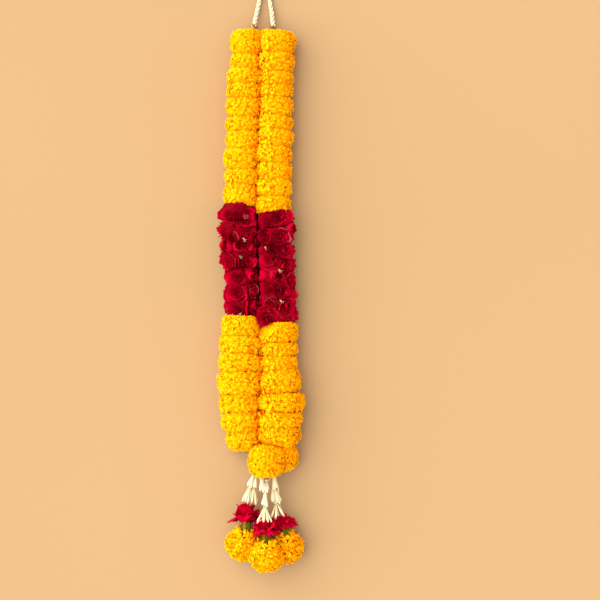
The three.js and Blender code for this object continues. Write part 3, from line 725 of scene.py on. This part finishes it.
# roses
roseLook = {
    "seed": {"left": 700, "right": 800},
    "base": 0.14,  # where a rose starts, as a share of the ring's radius
    "face": 0.78,  # where its open face lies
    "facing": 0.12,  # how far the roses turn away from straight out
    "petalReach": 1.15,  # how far its petals reach, as a share of its size
    "closedReach": 0.35,  # and how much farther if it is closed
    "nearby": 1.6,  # roses farther apart than this share of their sizes don't touch
    "frontSteps": 6,  # rows and columns of a petal, in front and at the back
    "backSteps": 5,
    "thickness": 0.4 * mm,
    "layer": 2.0 * mm,
    "pointed": 0.0,
    "ruffle": 1.0,
    "shade": 1.0,  # how far the darker tint goes
    "paleShare": 0.4,  # share of the petals that get a pale rim, in a rose that has them
    "layerTurn": 0.9,  # from one layer of petals to the next, in radians
    "shift": 0.18,  # how far a petal leaves its even place
    "widths": (0.85, 1.15),  # least and most share of the usual width; the same for what follows
    "flares": (0.4, 1.5),
    "heights": (0.86, 1.08),
    "sizes": (0.92, 1.08),
    "core": 0.74,
    # the core's place on the color ramp, its darkest red: painted shade between and under the roses
    "coreShadeTone": 0.0,
    "coreFall": 0.1,
    "shoulder": 2.0,
    "lumps": 0.6 * mm,
    "seamBulge": 0.32,  # how much its core swells toward the other rope
    "seamRise": -0.35,  # and how steeply up or down
    # how far rose petals lap over the marigolds above and below them
    "lapAbove": -0.4 * mm,
    "lapBelow": {"left": 4.0 * mm, "right": 2.0 * mm},
    "seamRoom": 0.4 * mm,  # gap left between the roses of one rope and the other's
    "corner": (-55.0, 429.0),  # the left bunch is rounded off here
    # petals in each layer from the heart out: how many, place, half span, height, flare, droop
    "layers": [
        (3, 0.13, 1.25, 1.00, 0.03, 0.00),
        (4, 0.30, 1.00, 0.99, 0.08, 0.00),
        (5, 0.50, 0.80, 0.92, 0.20, 0.03),
        (5, 0.70, 0.76, 0.82, 0.30, 0.08),
        (5, 0.86, 0.78, 0.70, 0.36, 0.12),
        (6, 1.05, 0.72, 0.60, 0.46, 0.12),
    ],
    # the same for a rose that is still closed: few petals, each nearly round it
    "closedLayers": [
        (2, 0.26, 1.40, 1.02, 0.00, 0.00),
        (3, 0.50, 1.30, 1.02, 0.02, 0.00),
        (3, 0.74, 1.25, 0.99, 0.03, 0.00),
        (4, 0.95, 1.05, 0.92, 0.08, 0.02),
        (5, 1.10, 0.80, 0.66, 0.40, 0.10),
    ],
    "closedBelow": 0.55,  # how open a rose must be to count as open
}
hangingRoseLook = {
    # seen from the side: pointed petals, the outer ones turned over and hanging down
    **roseLook,
    "seed": 900,
    "extraDepth": 3 * mm,  # how much longer than the flower the petals are
    "frontSteps": 8,
    "pointed": 0.22,
    "ruffle": 2.0,
    "shade": 0.5,
    "layers": [
        (3, 0.18, 1.20, 1.06, 0.10, 0.00),
        (4, 0.34, 0.90, 1.06, 0.28, 0.00),
        (5, 0.46, 0.72, 0.96, 0.42, 0.12),
        (6, 0.52, 0.62, 0.82, 0.50, 0.26),
        (7, 0.56, 0.58, 0.66, 0.52, 0.50),
    ],
}
# roses in front: across from the rope's middle and down from the bunch's top, radius (all in mm),
# how open, and pale for those with a pale rim
frontRoses = {
    "left": [
        (-13.2, 17.2, 11.6, 0.8), (10.9, 20.8, 17.6, 1.15), (27.7, 26.4, 9.6, 0.5),
        (-19.0, 43.4, 14.4, 0.6), (-5.1, 51.2, 10.4, 0.25, "pale"), (14.1, 48.0, 11.2, 0.7),
        (-19.0, 66.4, 12.0, 0.2), (-0.2, 66.4, 10.4, 0.2), (20.3, 68.8, 12.8, 0.9),
        (-13.9, 89.9, 15.2, 1.1), (13.3, 92.0, 14.4, 0.9), (15.2, 110.4, 11.2, 0.3),
        (-7.5, 116.0, 15.2, 1.0), (26.9, 117.6, 9.6, 0.6), (-9.1, 140.8, 16.0, 1.1),
        (19.7, 136.8, 14.4, 0.9, "pale"), (-7.5, 164.4, 13.6, 0.7, "pale"), (18.9, 165.0, 15.2, 1.0),
    ],
    "right": [
        (-15.7, 13.6, 13.6, 0.8), (8.3, 10.4, 15.2, 1.0), (24.3, 24.8, 11.2, 0.5),
        (-14.9, 36.8, 12.0, 0.4), (8.8, 37.6, 16.0, 1.1, "pale"), (-6.1, 59.2, 11.2, 0.3),
        (14.7, 63.2, 15.2, 1.0), (-14.1, 76.8, 14.4, 1.1), (13.1, 87.2, 12.8, 0.8),
        (0.0, 100.8, 11.2, 0.15, "pale"), (-23.7, 100.0, 10.4, 0.5), (19.5, 107.2, 13.6, 0.9),
        (-14.9, 119.2, 13.6, 0.6), (8.3, 124.8, 14.4, 0.9), (-8.6, 145.3, 13.6, 0.6, "pale"),
        (16.3, 149.6, 16.0, 1.1),
    ],
}
backRoses = [[110, 180, 250], [95, 145, 215, 265]]  # angles from the front, ring by ring
backSize, backOpenness = 13.5 * mm, 0.9


def rosePetals(base, outward, faceRadius, depth, draw, look, flats, steps, openness=1.0, pale=0):
    # each petal is a grid from foot to rim (t) and across (v), wound round the way that the rose
    # faces; the petals of a closed rose bend in over its heart
    side = unit(np.cross(outward, [0.31, 0.87, 0.38]))
    t = np.linspace(0, 1, steps)[:, None]
    v = np.linspace(-1, 1, steps)[None, :]
    turn = draw.uniform(0, 6)
    closing = 0.62 * (1 - min(openness, 1))
    grids, tints, rims = [], [], []
    layers = look["closedLayers" if openness < look["closedBelow"] else "layers"]
    for layer, (petals, place, span, height, flare, droop) in enumerate(layers):
        for k in range(petals):
            shift = draw.uniform(-look["shift"], look["shift"])
            middle = turn + layer * look["layerTurn"] + 2 * math.pi * (k + shift) / petals
            wide = span * draw.uniform(*look["widths"])
            theta = middle + wide * v * (0.3 + 0.75 * np.sin(math.pi * (0.12 + 0.62 * t)))
            bulge = np.sin(math.pi * np.clip(0.05 + t * (0.62 + closing) * (1 - 0.3 * t), 0, 1)) ** 0.8
            spread = max(openness, 0.5) * flare * draw.uniform(*look["flares"])
            reach = place * bulge * (0.92 + 0.08 * openness) + spread * t ** 3 - 0.05 * v * (1 - t * 0.3)
            waves = 0.05 * look["ruffle"] * t ** 2
            reach = reach + waves * np.sin(4 * v + draw.uniform(0, 6)) + 0.05 * t ** 7
            peak = height * draw.uniform(*look["heights"])
            rim = peak * (1 - 0.16 * v ** 4 * t ** 2 - look["pointed"] * np.abs(v) ** 1.5 * t ** 2)
            rim = rim + waves / 2 * np.sin(5 * v + draw.uniform(0, 6))
            lift = depth * (rim * t - openness * droop * t ** 5)
            reach = reach * faceRadius * draw.uniform(*look["sizes"])
            grids.append(base + reach[..., None] * fan(theta, outward, side) + lift[..., None] * outward)
            # a random darker tint; the two inner layers get more of it, painted shade in the rose's heart
            tints.append(draw.uniform(0, 1) * (0.6 + 0.4 * (layer < 2)) * look["shade"])
            rims.append(pale * (draw.random() < look["paleShare"]) * (layer > 1))
    marks = {"along": t, "tint": np.array(tints)[:, None, None],
             "pale": np.array(rims)[:, None, None] * t ** 20}
    return thinSheets(squeezeIn(np.array(grids), flats, look["layer"]), look["thickness"], marks)


def ringPitch(rings):
    return (rings[0]["enter"][1] - rings[-1]["leave"][1]) / len(rings)


def standingRose(rings, across, down, size=0.0, openness=1.0, pale=0, angle=None):
    # where a rose or a part of one stands on the rope's axis, and which way it faces
    place = down / ringPitch(rings) - 0.5
    ring = rings[int(np.clip(round(place), 0, len(rings) - 1))]
    low = int(np.clip(math.floor(place), 0, len(rings) - 2))
    share = place - low
    middle = rings[low]["centre"] * (1 - share) + rings[low + 1]["centre"] * share
    faceReach = roseLook["face"] * ring["radius"]
    if angle is None:
        angle = math.asin(np.clip(across / faceReach, -0.97, 0.97))
    out = np.array([math.sin(angle), 0, math.cos(angle)])
    return {"ring": ring, "middle": middle, "out": out, "face": middle + out * faceReach,
            "size": size, "openness": openness, "pale": pale}


def bunchRoses(side, rings):
    roses = []
    for across, down, size, openness, *rim in frontRoses[side]:
        roses.append(standingRose(rings, across * mm, down * mm, size * mm, openness, len(rim)))
    for k in range(len(rings)):
        for angle in backRoses[k % 2]:
            down = (k + 0.5) * ringPitch(rings)
            roses.append(standingRose(rings, 0, down, backSize, backOpenness, 0, math.radians(angle)))
    cut = unit(np.array([0.7, -0.7, 0]))
    corner = newFlat(cut, cut @ spot(*roseLook["corner"], 0), "corner", 1, meshing)
    for i, first in enumerate(roses):
        flats = [corner] if side == "left" else []
        for flat in first["ring"]["flats"]:
            if flat["from"].startswith("marigold"):
                lap = roseLook["lapAbove"] if "upper" in flat["from"] else roseLook["lapBelow"][side]
                flats.append({**flat, "offset": flat["offset"] - lap, "waves": 2 * meshing})
            elif not flat["from"].startswith(f"roses_{side}"):
                room = roseLook["seamRoom"] * flat["from"].startswith("roses")
                flats.append({**flat, "offset": flat["offset"] + room})
        for j, second in enumerate(roses):
            line = first["face"] - second["face"]
            distance = np.linalg.norm(line)
            if i == j or distance > roseLook["nearby"] * (first["size"] + second["size"]):
                continue
            meet = second["face"] + line * second["size"] / (first["size"] + second["size"])
            normal = line / distance
            order = 1 if i > j else -1
            flats.insert(0, newFlat(normal, normal @ meet + touchGap / 2, "rose", order, meshing / 2))
        first["flats"] = flats
    return roses


def bunchRose(rose, draw, look=roseLook):
    radius = rose["ring"]["radius"]
    outward = unit(rose["out"] + draw.normal(0, look["facing"], 3))
    base = rose["middle"] + rose["out"] * (look["base"] * radius)
    depth = (draw.uniform(0.95, 1.05) - look["base"]) * radius
    steps = look["frontSteps"] if rose["out"][2] > -0.1 else look["backSteps"]
    size = rose["size"] * (look["petalReach"] + look["closedReach"] * (1 - min(rose["openness"], 1)))
    return rosePetals(base, outward, size, depth, draw, look, rose["flats"], steps, rose["openness"],
                      rose["pale"])


for side, rope in ropeLines.items():
    draw = newDraw(roseLook["seed"][side])
    rings = ofKind(rope, "roses")
    bunches = {f"roses_{side}_{bunch + 1}": [] for bunch in range(len(ringsInBunch))}
    for rose in bunchRoses(side, rings):
        bunches[rose["ring"]["name"].split(".")[0]].append(bunchRose(rose, draw))
    for ring in rings:
        bunches[ring["name"].split(".")[0]].append(headCore(ring, roseLook))
    if side == "right":
        depth = np.linalg.norm(seamRose["face"] - seamRose["foot"]) + seamRose["depth"]
        petals = rosePetals(seamRose["foot"], seamOut, seamRose["radius"], depth, draw, roseLook, [],
                            roseLook["frontSteps"], seamRose["openness"])
        bunches["roses_right_3"].append(petals)
    for node, shells in bunches.items():
        newPiece(f"petals_{node}", shells, "rosePetal", [node])
for k, strand in enumerate(strandLook.values()):
    flower = strand["roseFlower"]
    draw = newDraw(hangingRoseLook["seed"] + k)
    foot = strand["neck"] + flower["axis"] * strand["roseDrop"]
    outward = unit(np.array([strand["roseTilt"], 0, 0]) - flower["axis"])
    depth = 2 * flower["half"] + hangingRoseLook["extraDepth"]
    petals = rosePetals(foot, outward, strand["roseSpan"] * flower["radius"], depth, draw, hangingRoseLook,
                        flower["flats"], hangingRoseLook["frontSteps"])
    newPiece(f"petals_{flower['name']}", [petals], "rosePetal", [flower["name"]])
print("roses made")


# cream buds: the neck loop's small ones and the tassel's long ones
def smoothLine(points, steps):
    # a curve through the points, with points evenly spaced
    points = np.array(points)
    padded = np.concatenate([[2 * points[0] - points[1]], points, [2 * points[-1] - points[-2]]])
    fine = []
    for k in range(len(points) - 1):
        p0, p1, p2, p3 = padded[k:k + 4]
        for t in np.linspace(0, 1, 24, endpoint=False):
            fine.append(0.5 * (2 * p1 + (p2 - p0) * t + (2 * p0 - 5 * p1 + 4 * p2 - p3) * t * t
                               + (3 * p1 - p0 - 3 * p2 + p3) * t ** 3))
    fine.append(points[-1])
    fine = np.array(fine)
    run = np.concatenate([[0], np.cumsum(np.linalg.norm(np.diff(fine, axis=0), axis=1))])
    even = np.linspace(0, run[-1], steps)
    return np.stack([np.interp(even, run, fine[:, k]) for k in range(3)], -1)


# outline of a bud from root to tip: place along it, and half thickness as a share of the whole
smallOutline = [(0, 0.12), (0.1, 0.24), (0.3, 0.40), (0.55, 0.50), (0.8, 0.40), (0.94, 0.2), (1, 0.05)]
longOutline = [(0, 0.16), (0.15, 0.20), (0.4, 0.26), (0.62, 0.40), (0.8, 0.5), (0.92, 0.36), (1, 0.08)]
budSides = 8
budLayer = 1.0 * mm
noBend = np.zeros(3)
smallBuds = {"seed": {"left": 41, "right": 42}, "length": 7.0 * mm, "thick": 3.0 * mm, "opening": 0.28,
             "outline": smallOutline, "bend": -0.16, "pitch": 1.25 * mm, "foot": 1.5 * mm, "core": 2.3 * mm,
             "openings": (0.7, 1.3), "lengths": (0.85, 1.12), "greenLength": 1.5 * mm,
             "greenThick": 1.1 * mm, "greenOut": (1.2, 1.5), "greenUp": 0.3}
longBuds = {"seed": 51, "perWhorl": 7, "shift": 0.2, "openings": (0.5, 1.3), "lengths": (0.86, 1.06),
            "thick": 3.9 * mm, "outline": longOutline, "bend": 0.04,
            "foot": 1.1 * mm, "cord": 1.0 * mm,
            "inHead": (20 * mm, 11 * mm, 2 * mm)}  # the cord's last points, up from the head's middle
# where each neck string runs, up to the arc at the loop's top
neckPoints = {
    "left": [spot(-8.8, 714, 19), spot(-6.5, 727, 13), spot(-3.6, 742, 7), spot(0.6, 763, 5)],
    "right": [spot(23.6, 714, 20), spot(22.4, 727, 13), spot(20.4, 742, 7), spot(17.2, 763, 5)],
}


def budShell(root, direction, length, thick, outline, bend, draw, flats=()):
    angle = evenAngles(budSides)
    rings = []
    for share, reach in outline:
        middle = root + direction * (share * length) + bend * (share ** 2 * length)
        ridge = 1 + 0.08 * np.cos(3 * angle + draw.uniform(0, 6))
        rings.append(middle + (reach * thick * ridge)[:, None] * fan(angle, direction))
    marks = {"along": np.array(outline)[:, :1], "tint": draw.uniform(0, 1)}
    return closedTube(squeezeIn(np.array(rings), flats, budLayer), marks)


def standingBud(start, ahead, out, opening, length, look, draw, flats):
    # a bud that stands off a string; its root and direction come back too
    direction = unit(ahead * math.cos(opening) + out * math.sin(opening))
    root = start + out * look["foot"]
    bud = budShell(root, direction, length, look["thick"], look["outline"], out * look["bend"], draw, flats)
    return root, direction, bud


def neckString(side, points, look=smallBuds):
    draw = newDraw(look["seed"][side])
    run = np.linalg.norm(np.diff(np.array(points), axis=0), axis=1).sum()
    count = int(run / look["pitch"])
    line = smoothLine(points, count + 4)
    ahead = unit(np.gradient(line, axis=0))
    sign = ropes[side]["sign"]
    flats = [newFlat([sign, 0, 0], sign * (loopPeak[0] + ropeEnd[0]) + touchGap / 2), floorFlat]
    shells = [closedTube(tubeRings(line[1:-1], look["core"], budSides), {"along": 0.1, "tint": 0.4})]
    for k in range(count):
        out = fan(k * goldenAngle, ahead[k])
        opening = look["opening"] * draw.uniform(*look["openings"])
        length = look["length"] * draw.uniform(*look["lengths"])
        root, direction, bud = standingBud(line[k], ahead[k], out, opening, length, look, draw, flats)
        shells.append(bud)
        if k % 2:
            # every other bud shows a small green foot
            foot = root + direction * look["greenUp"] * mm + out * draw.uniform(*look["greenOut"]) * mm
            green = budShell(foot, direction, look["greenLength"], look["greenThick"], look["outline"],
                             -out * 0.1, draw, flats)
            shells.append(remark(green, 0, 0.05))
    newPiece(f"buds_neck_{side}", shells, "creamBud", [f"neck_string_{side}"])


def tasselString(name, strand, seed, look=longBuds):
    draw = newDraw(seed)
    enter, leave = strand["rose"]
    shells = []
    for start, end, spread in strand["whorls"]:
        length = np.linalg.norm(end - start)
        ahead = (end - start) / length
        for k in range(look["perWhorl"]):
            shift = draw.uniform(-look["shift"], look["shift"])
            out = fan(2 * math.pi * (k + shift) / look["perWhorl"], ahead)
            opening = spread * draw.uniform(*look["openings"])
            long = length * draw.uniform(*look["lengths"])
            shells.append(standingBud(start, ahead, out, opening, long, look, draw, [floorFlat])[-1])
    # the cord runs through the rose and the cup into the head
    line = smoothLine([*strand["cord"], enter], 80)
    inHead = [strand["head"] + up * strand["lean"] for up in look["inHead"]]
    cord = np.array([*line[::4], enter, leave, strand["neck"], *inHead])
    shells.append(closedTube(tubeRings(cord, look["cord"], budSides), {"along": 0.2, "tint": 0.3}))
    newPiece(f"buds_tassel_{name}", shells, "creamBud", [f"bud_string_{name}"])


arc = [loopPeak + loopRadius * np.array([math.cos(angle), math.sin(angle), 0]) + ropeEnd
       for angle in np.linspace(math.pi, 0, 5)]
neckString("left", [*neckPoints["left"], *arc[:3]])
neckString("right", [*neckPoints["right"], *arc[:1:-1]])
for k, (name, strand) in enumerate(strandLook.items()):
    tasselString(name, strand, longBuds["seed"] + k)
print("buds made")


# green cups of the tassel's marigolds: radius at places along it, and ribs
cupLook = {
    "inHead": (11 * mm, 20 * mm),  # its first points, up from the head's middle
    "inRose": 2 * mm,
    "steps": 16,
    "sides": 40,
    "places": [0, 0.12, 0.4, 0.7, 0.9, 1],
    "radii": [0.96, 1.06, 1.1, 1.0, 0.82, 0.5],
    "ribs": 5,
    "ribDepth": 0.08,
    "ribEnd": 0.4,  # how much of the ribs is left at the neck
}


def greenCup(name, strand, look=cupLook):
    lean, head = strand["lean"], strand["head"]
    line = smoothLine([*[head + up * lean for up in look["inHead"]], strand["neck"],
                       strand["rose"][1] + look["inRose"] * lean], look["steps"])
    place = np.linspace(0, 1, look["steps"])[:, None]
    rib = np.cos(look["ribs"] * evenAngles(look["sides"]))
    ribDepth = look["ribDepth"] * (1 + (look["ribEnd"] - 1) * place)
    reach = strand["cupRadius"] * np.interp(place, look["places"], look["radii"]) * (1 + ribDepth * rib)
    # the rib crests get the high tint: a painted highlight along the ribs
    marks = {"along": place, "tint": smoothStep(rib * 0.5 + 0.5) ** 3}
    shells = [closedTube(tubeRings(line, reach, look["sides"]), marks)]
    newPiece(f"cup_{name}", shells, "greenCup", [f"green_cup_{name}"])


for name, strand in strandLook.items():
    greenCup(name, strand)


sepalThickness = 0.35 * mm


def sepals(base, direction, look, draw):
    # small pointed leaves that stand round a point
    t = np.linspace(0, 1, 5)[:, None]
    v = np.linspace(-1, 1, 3)[None, :]
    grids = []
    for k in range(look["count"]):
        out = fan(2 * math.pi * (k + draw.uniform(-0.2, 0.2)) / look["count"], direction)
        lean = look["spread"] * draw.uniform(0.7, 1.3)
        reach = look["length"] * draw.uniform(0.8, 1.15)
        half = look["width"] * np.sin(math.pi * (0.12 + 0.86 * t)) * v
        forward = reach * t * math.cos(lean)
        outward = reach * t * math.sin(lean) * (0.6 + 0.4 * t) + 0.25 * look["width"] * (1 - v ** 2)
        grids.append(base + forward[..., None] * direction + outward[..., None] * out
                     + half[..., None] * np.cross(direction, out))
    return thinSheets(np.array(grids), sepalThickness, {"along": 0.2 + 0.8 * t, "tint": 0.5})


# bits of pale calyx between the petals: across, down (mm from the rope's middle and the bunch's top),
# which way they point across, and length
calyxLook = {
    "seed": {"left": 1200, "right": 1300},
    "left": [(7.2, 53.0, 0.2, 7.5), (0.5, 81.5, 0.5, 5.5), (-0.5, 171.5, -0.3, 6.0)],
    "right": [(-17.0, 54.5, 0.9, 7.0), (3.0, 91.0, 0.4, 6.5), (2.9, 139.5, 0.7, 6.5)],
    "thick": 3.2 * mm,
    "outline": [(0, 0.2), (0.15, 0.42), (0.4, 0.5), (0.7, 0.42), (0.9, 0.44), (1, 0.3)],
    "rise": 0.82,  # how far out it starts, as a share of the ring's radius
    "outward": 0.8,  # how it points, besides its way across
    "downward": 0.6,
    "tones": (0.004, 0.026),  # the part of the ramp that it has
    "tipsAt": 0.8,  # where its tips start, as a share of its length
    "tips": {"count": 4, "length": 4.5 * mm, "width": 0.8 * mm, "spread": 0.8},
}
for side, rope in ropeLines.items():
    draw = newDraw(calyxLook["seed"][side])
    shells = []
    for across, down, aside, length in calyxLook[side]:
        place = standingRose(ofKind(rope, "roses"), across * mm, down * mm)
        out = place["out"]
        base = place["middle"] + out * calyxLook["rise"] * place["ring"]["radius"]
        direction = unit(out * calyxLook["outward"] + np.array([aside, -calyxLook["downward"], 0]))
        cup = budShell(base, direction, length * mm, calyxLook["thick"], calyxLook["outline"], noBend, draw)
        tipBase = base + direction * length * mm * calyxLook["tipsAt"]
        tips = sepals(tipBase, direction, calyxLook["tips"], draw)
        shells += [remark(shell, *calyxLook["tones"], 0) for shell in (cup, tips)]
    newPiece(f"calyx_{side}", shells, "creamBud")

# green sepals round each neck string, where it comes out of the top flower
neckLook = {"seed": 1400, "count": 7, "length": 9 * mm, "width": 1.9 * mm, "spread": 0.85}
draw = newDraw(neckLook["seed"])
shells = [sepals(foot, unit(np.array([aside, 1.0, -0.35])), neckLook, draw)
          for foot, aside in ((spot(-8.6, 714.5, 19), 0.18), (spot(23.5, 713, 20), -0.12))]
newPiece("neck_sepals", shells, "greenCup")

# the dry ends of two flowers' cups, under the left rope's foot and under the join bloom: where, which
# way and how long
dryLook = {
    "seed": 1500,
    "tips": [(spot(-21, 43, 24), (0.1, -1.0, 0.15), 8 * mm), (spot(10.8, 2, 49), (0, -1.0, -0.1), 12 * mm)],
    "thick": 5.5 * mm,
    "outline": [(0, 0.42), (0.25, 0.5), (0.5, 0.4), (0.75, 0.24), (1, 0.06)],
}
draw = newDraw(dryLook["seed"])
shells = []
for base, way, length in dryLook["tips"]:
    tip = budShell(base, unit(np.array(way)), length, dryLook["thick"], dryLook["outline"], noBend, draw)
    shells.append(remark(tip, 0, 1, 0.3))
newPiece("dry_tips", shells, "dryCup")

# pale stamens in the heart of the left rope's largest rose
stamenLook = {"seed": 1600, "count": 12, "thick": 0.9 * mm, "length": (3.5 * mm, 5.5 * mm),
              "apart": 0.8 * mm, "lean": 0.25, "bend": 0.1, "rise": 0.9, "rose": frontRoses["left"][1]}
draw = newDraw(stamenLook["seed"])
across, down = stamenLook["rose"][:2]
place = standingRose(ofKind(ropeLines["left"], "roses"), across * mm, down * mm)
base = place["middle"] + place["out"] * stamenLook["rise"] * place["ring"]["radius"]
shells = []
for k in range(stamenLook["count"]):
    out = fan(k * goldenAngle, place["out"])
    root = base + out * (stamenLook["apart"] * math.sqrt(k))
    long = draw.uniform(*stamenLook["length"])
    direction = unit(place["out"] + out * stamenLook["lean"])
    bend = out * stamenLook["bend"]
    stamen = budShell(root, direction, long, stamenLook["thick"], longOutline, bend, draw)
    stamen["marks"]["pale"] = 0.6 + 0.4 * stamen["marks"]["along"]
    shells.append(remark(stamen, 0, 1, 0))
newPiece("rose_stamens", shells, "rosePetal")

for node in ("garland_thread", "tassel_tie"):
    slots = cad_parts[node].data.materials
    slots.clear()
    slots.append(materials["cottonThread"])
print("green cups and threads made")


# floor and light
floorHalf = 30.0
floorMesh = bpy.data.meshes.new("floor")
floorMesh.from_pydata([(x * floorHalf, y * floorHalf, 0) for x, y in ((-1, -1), (1, -1), (1, 1), (-1, 1))],
                      [], [(0, 1, 2, 3)])
floorMesh.materials.append(materials["paleFloor"])
floor = newObject("floor", floorMesh)

lightLook = {"from": (-0.70, 0.24, 0.68), "strength": 6.6, "angle": 1.6, "color": (1.0, 0.985, 0.96),
             "around": 1.57}
light = newObject("key", bpy.data.lights.new("key", "SUN"))
light.data.energy = lightLook["strength"]
light.data.angle = lightLook["angle"]
light.data.color = lightLook["color"]
light.rotation_mode = "QUATERNION"
light.rotation_quaternion = Vector(lightLook["from"]).to_track_quat("Z", "Y")
scene.world = bpy.data.worlds.new("studio")
scene.world.use_nodes = True
background = scene.world.node_tree.nodes["Background"]
background.inputs[0].default_value = (*lightLook["color"], 1)
background.inputs[1].default_value = lightLook["around"]
print("stage ready")

print("triangles:", sum(triangleCounts.values()), "largest piece:", max(triangleCounts.values()))
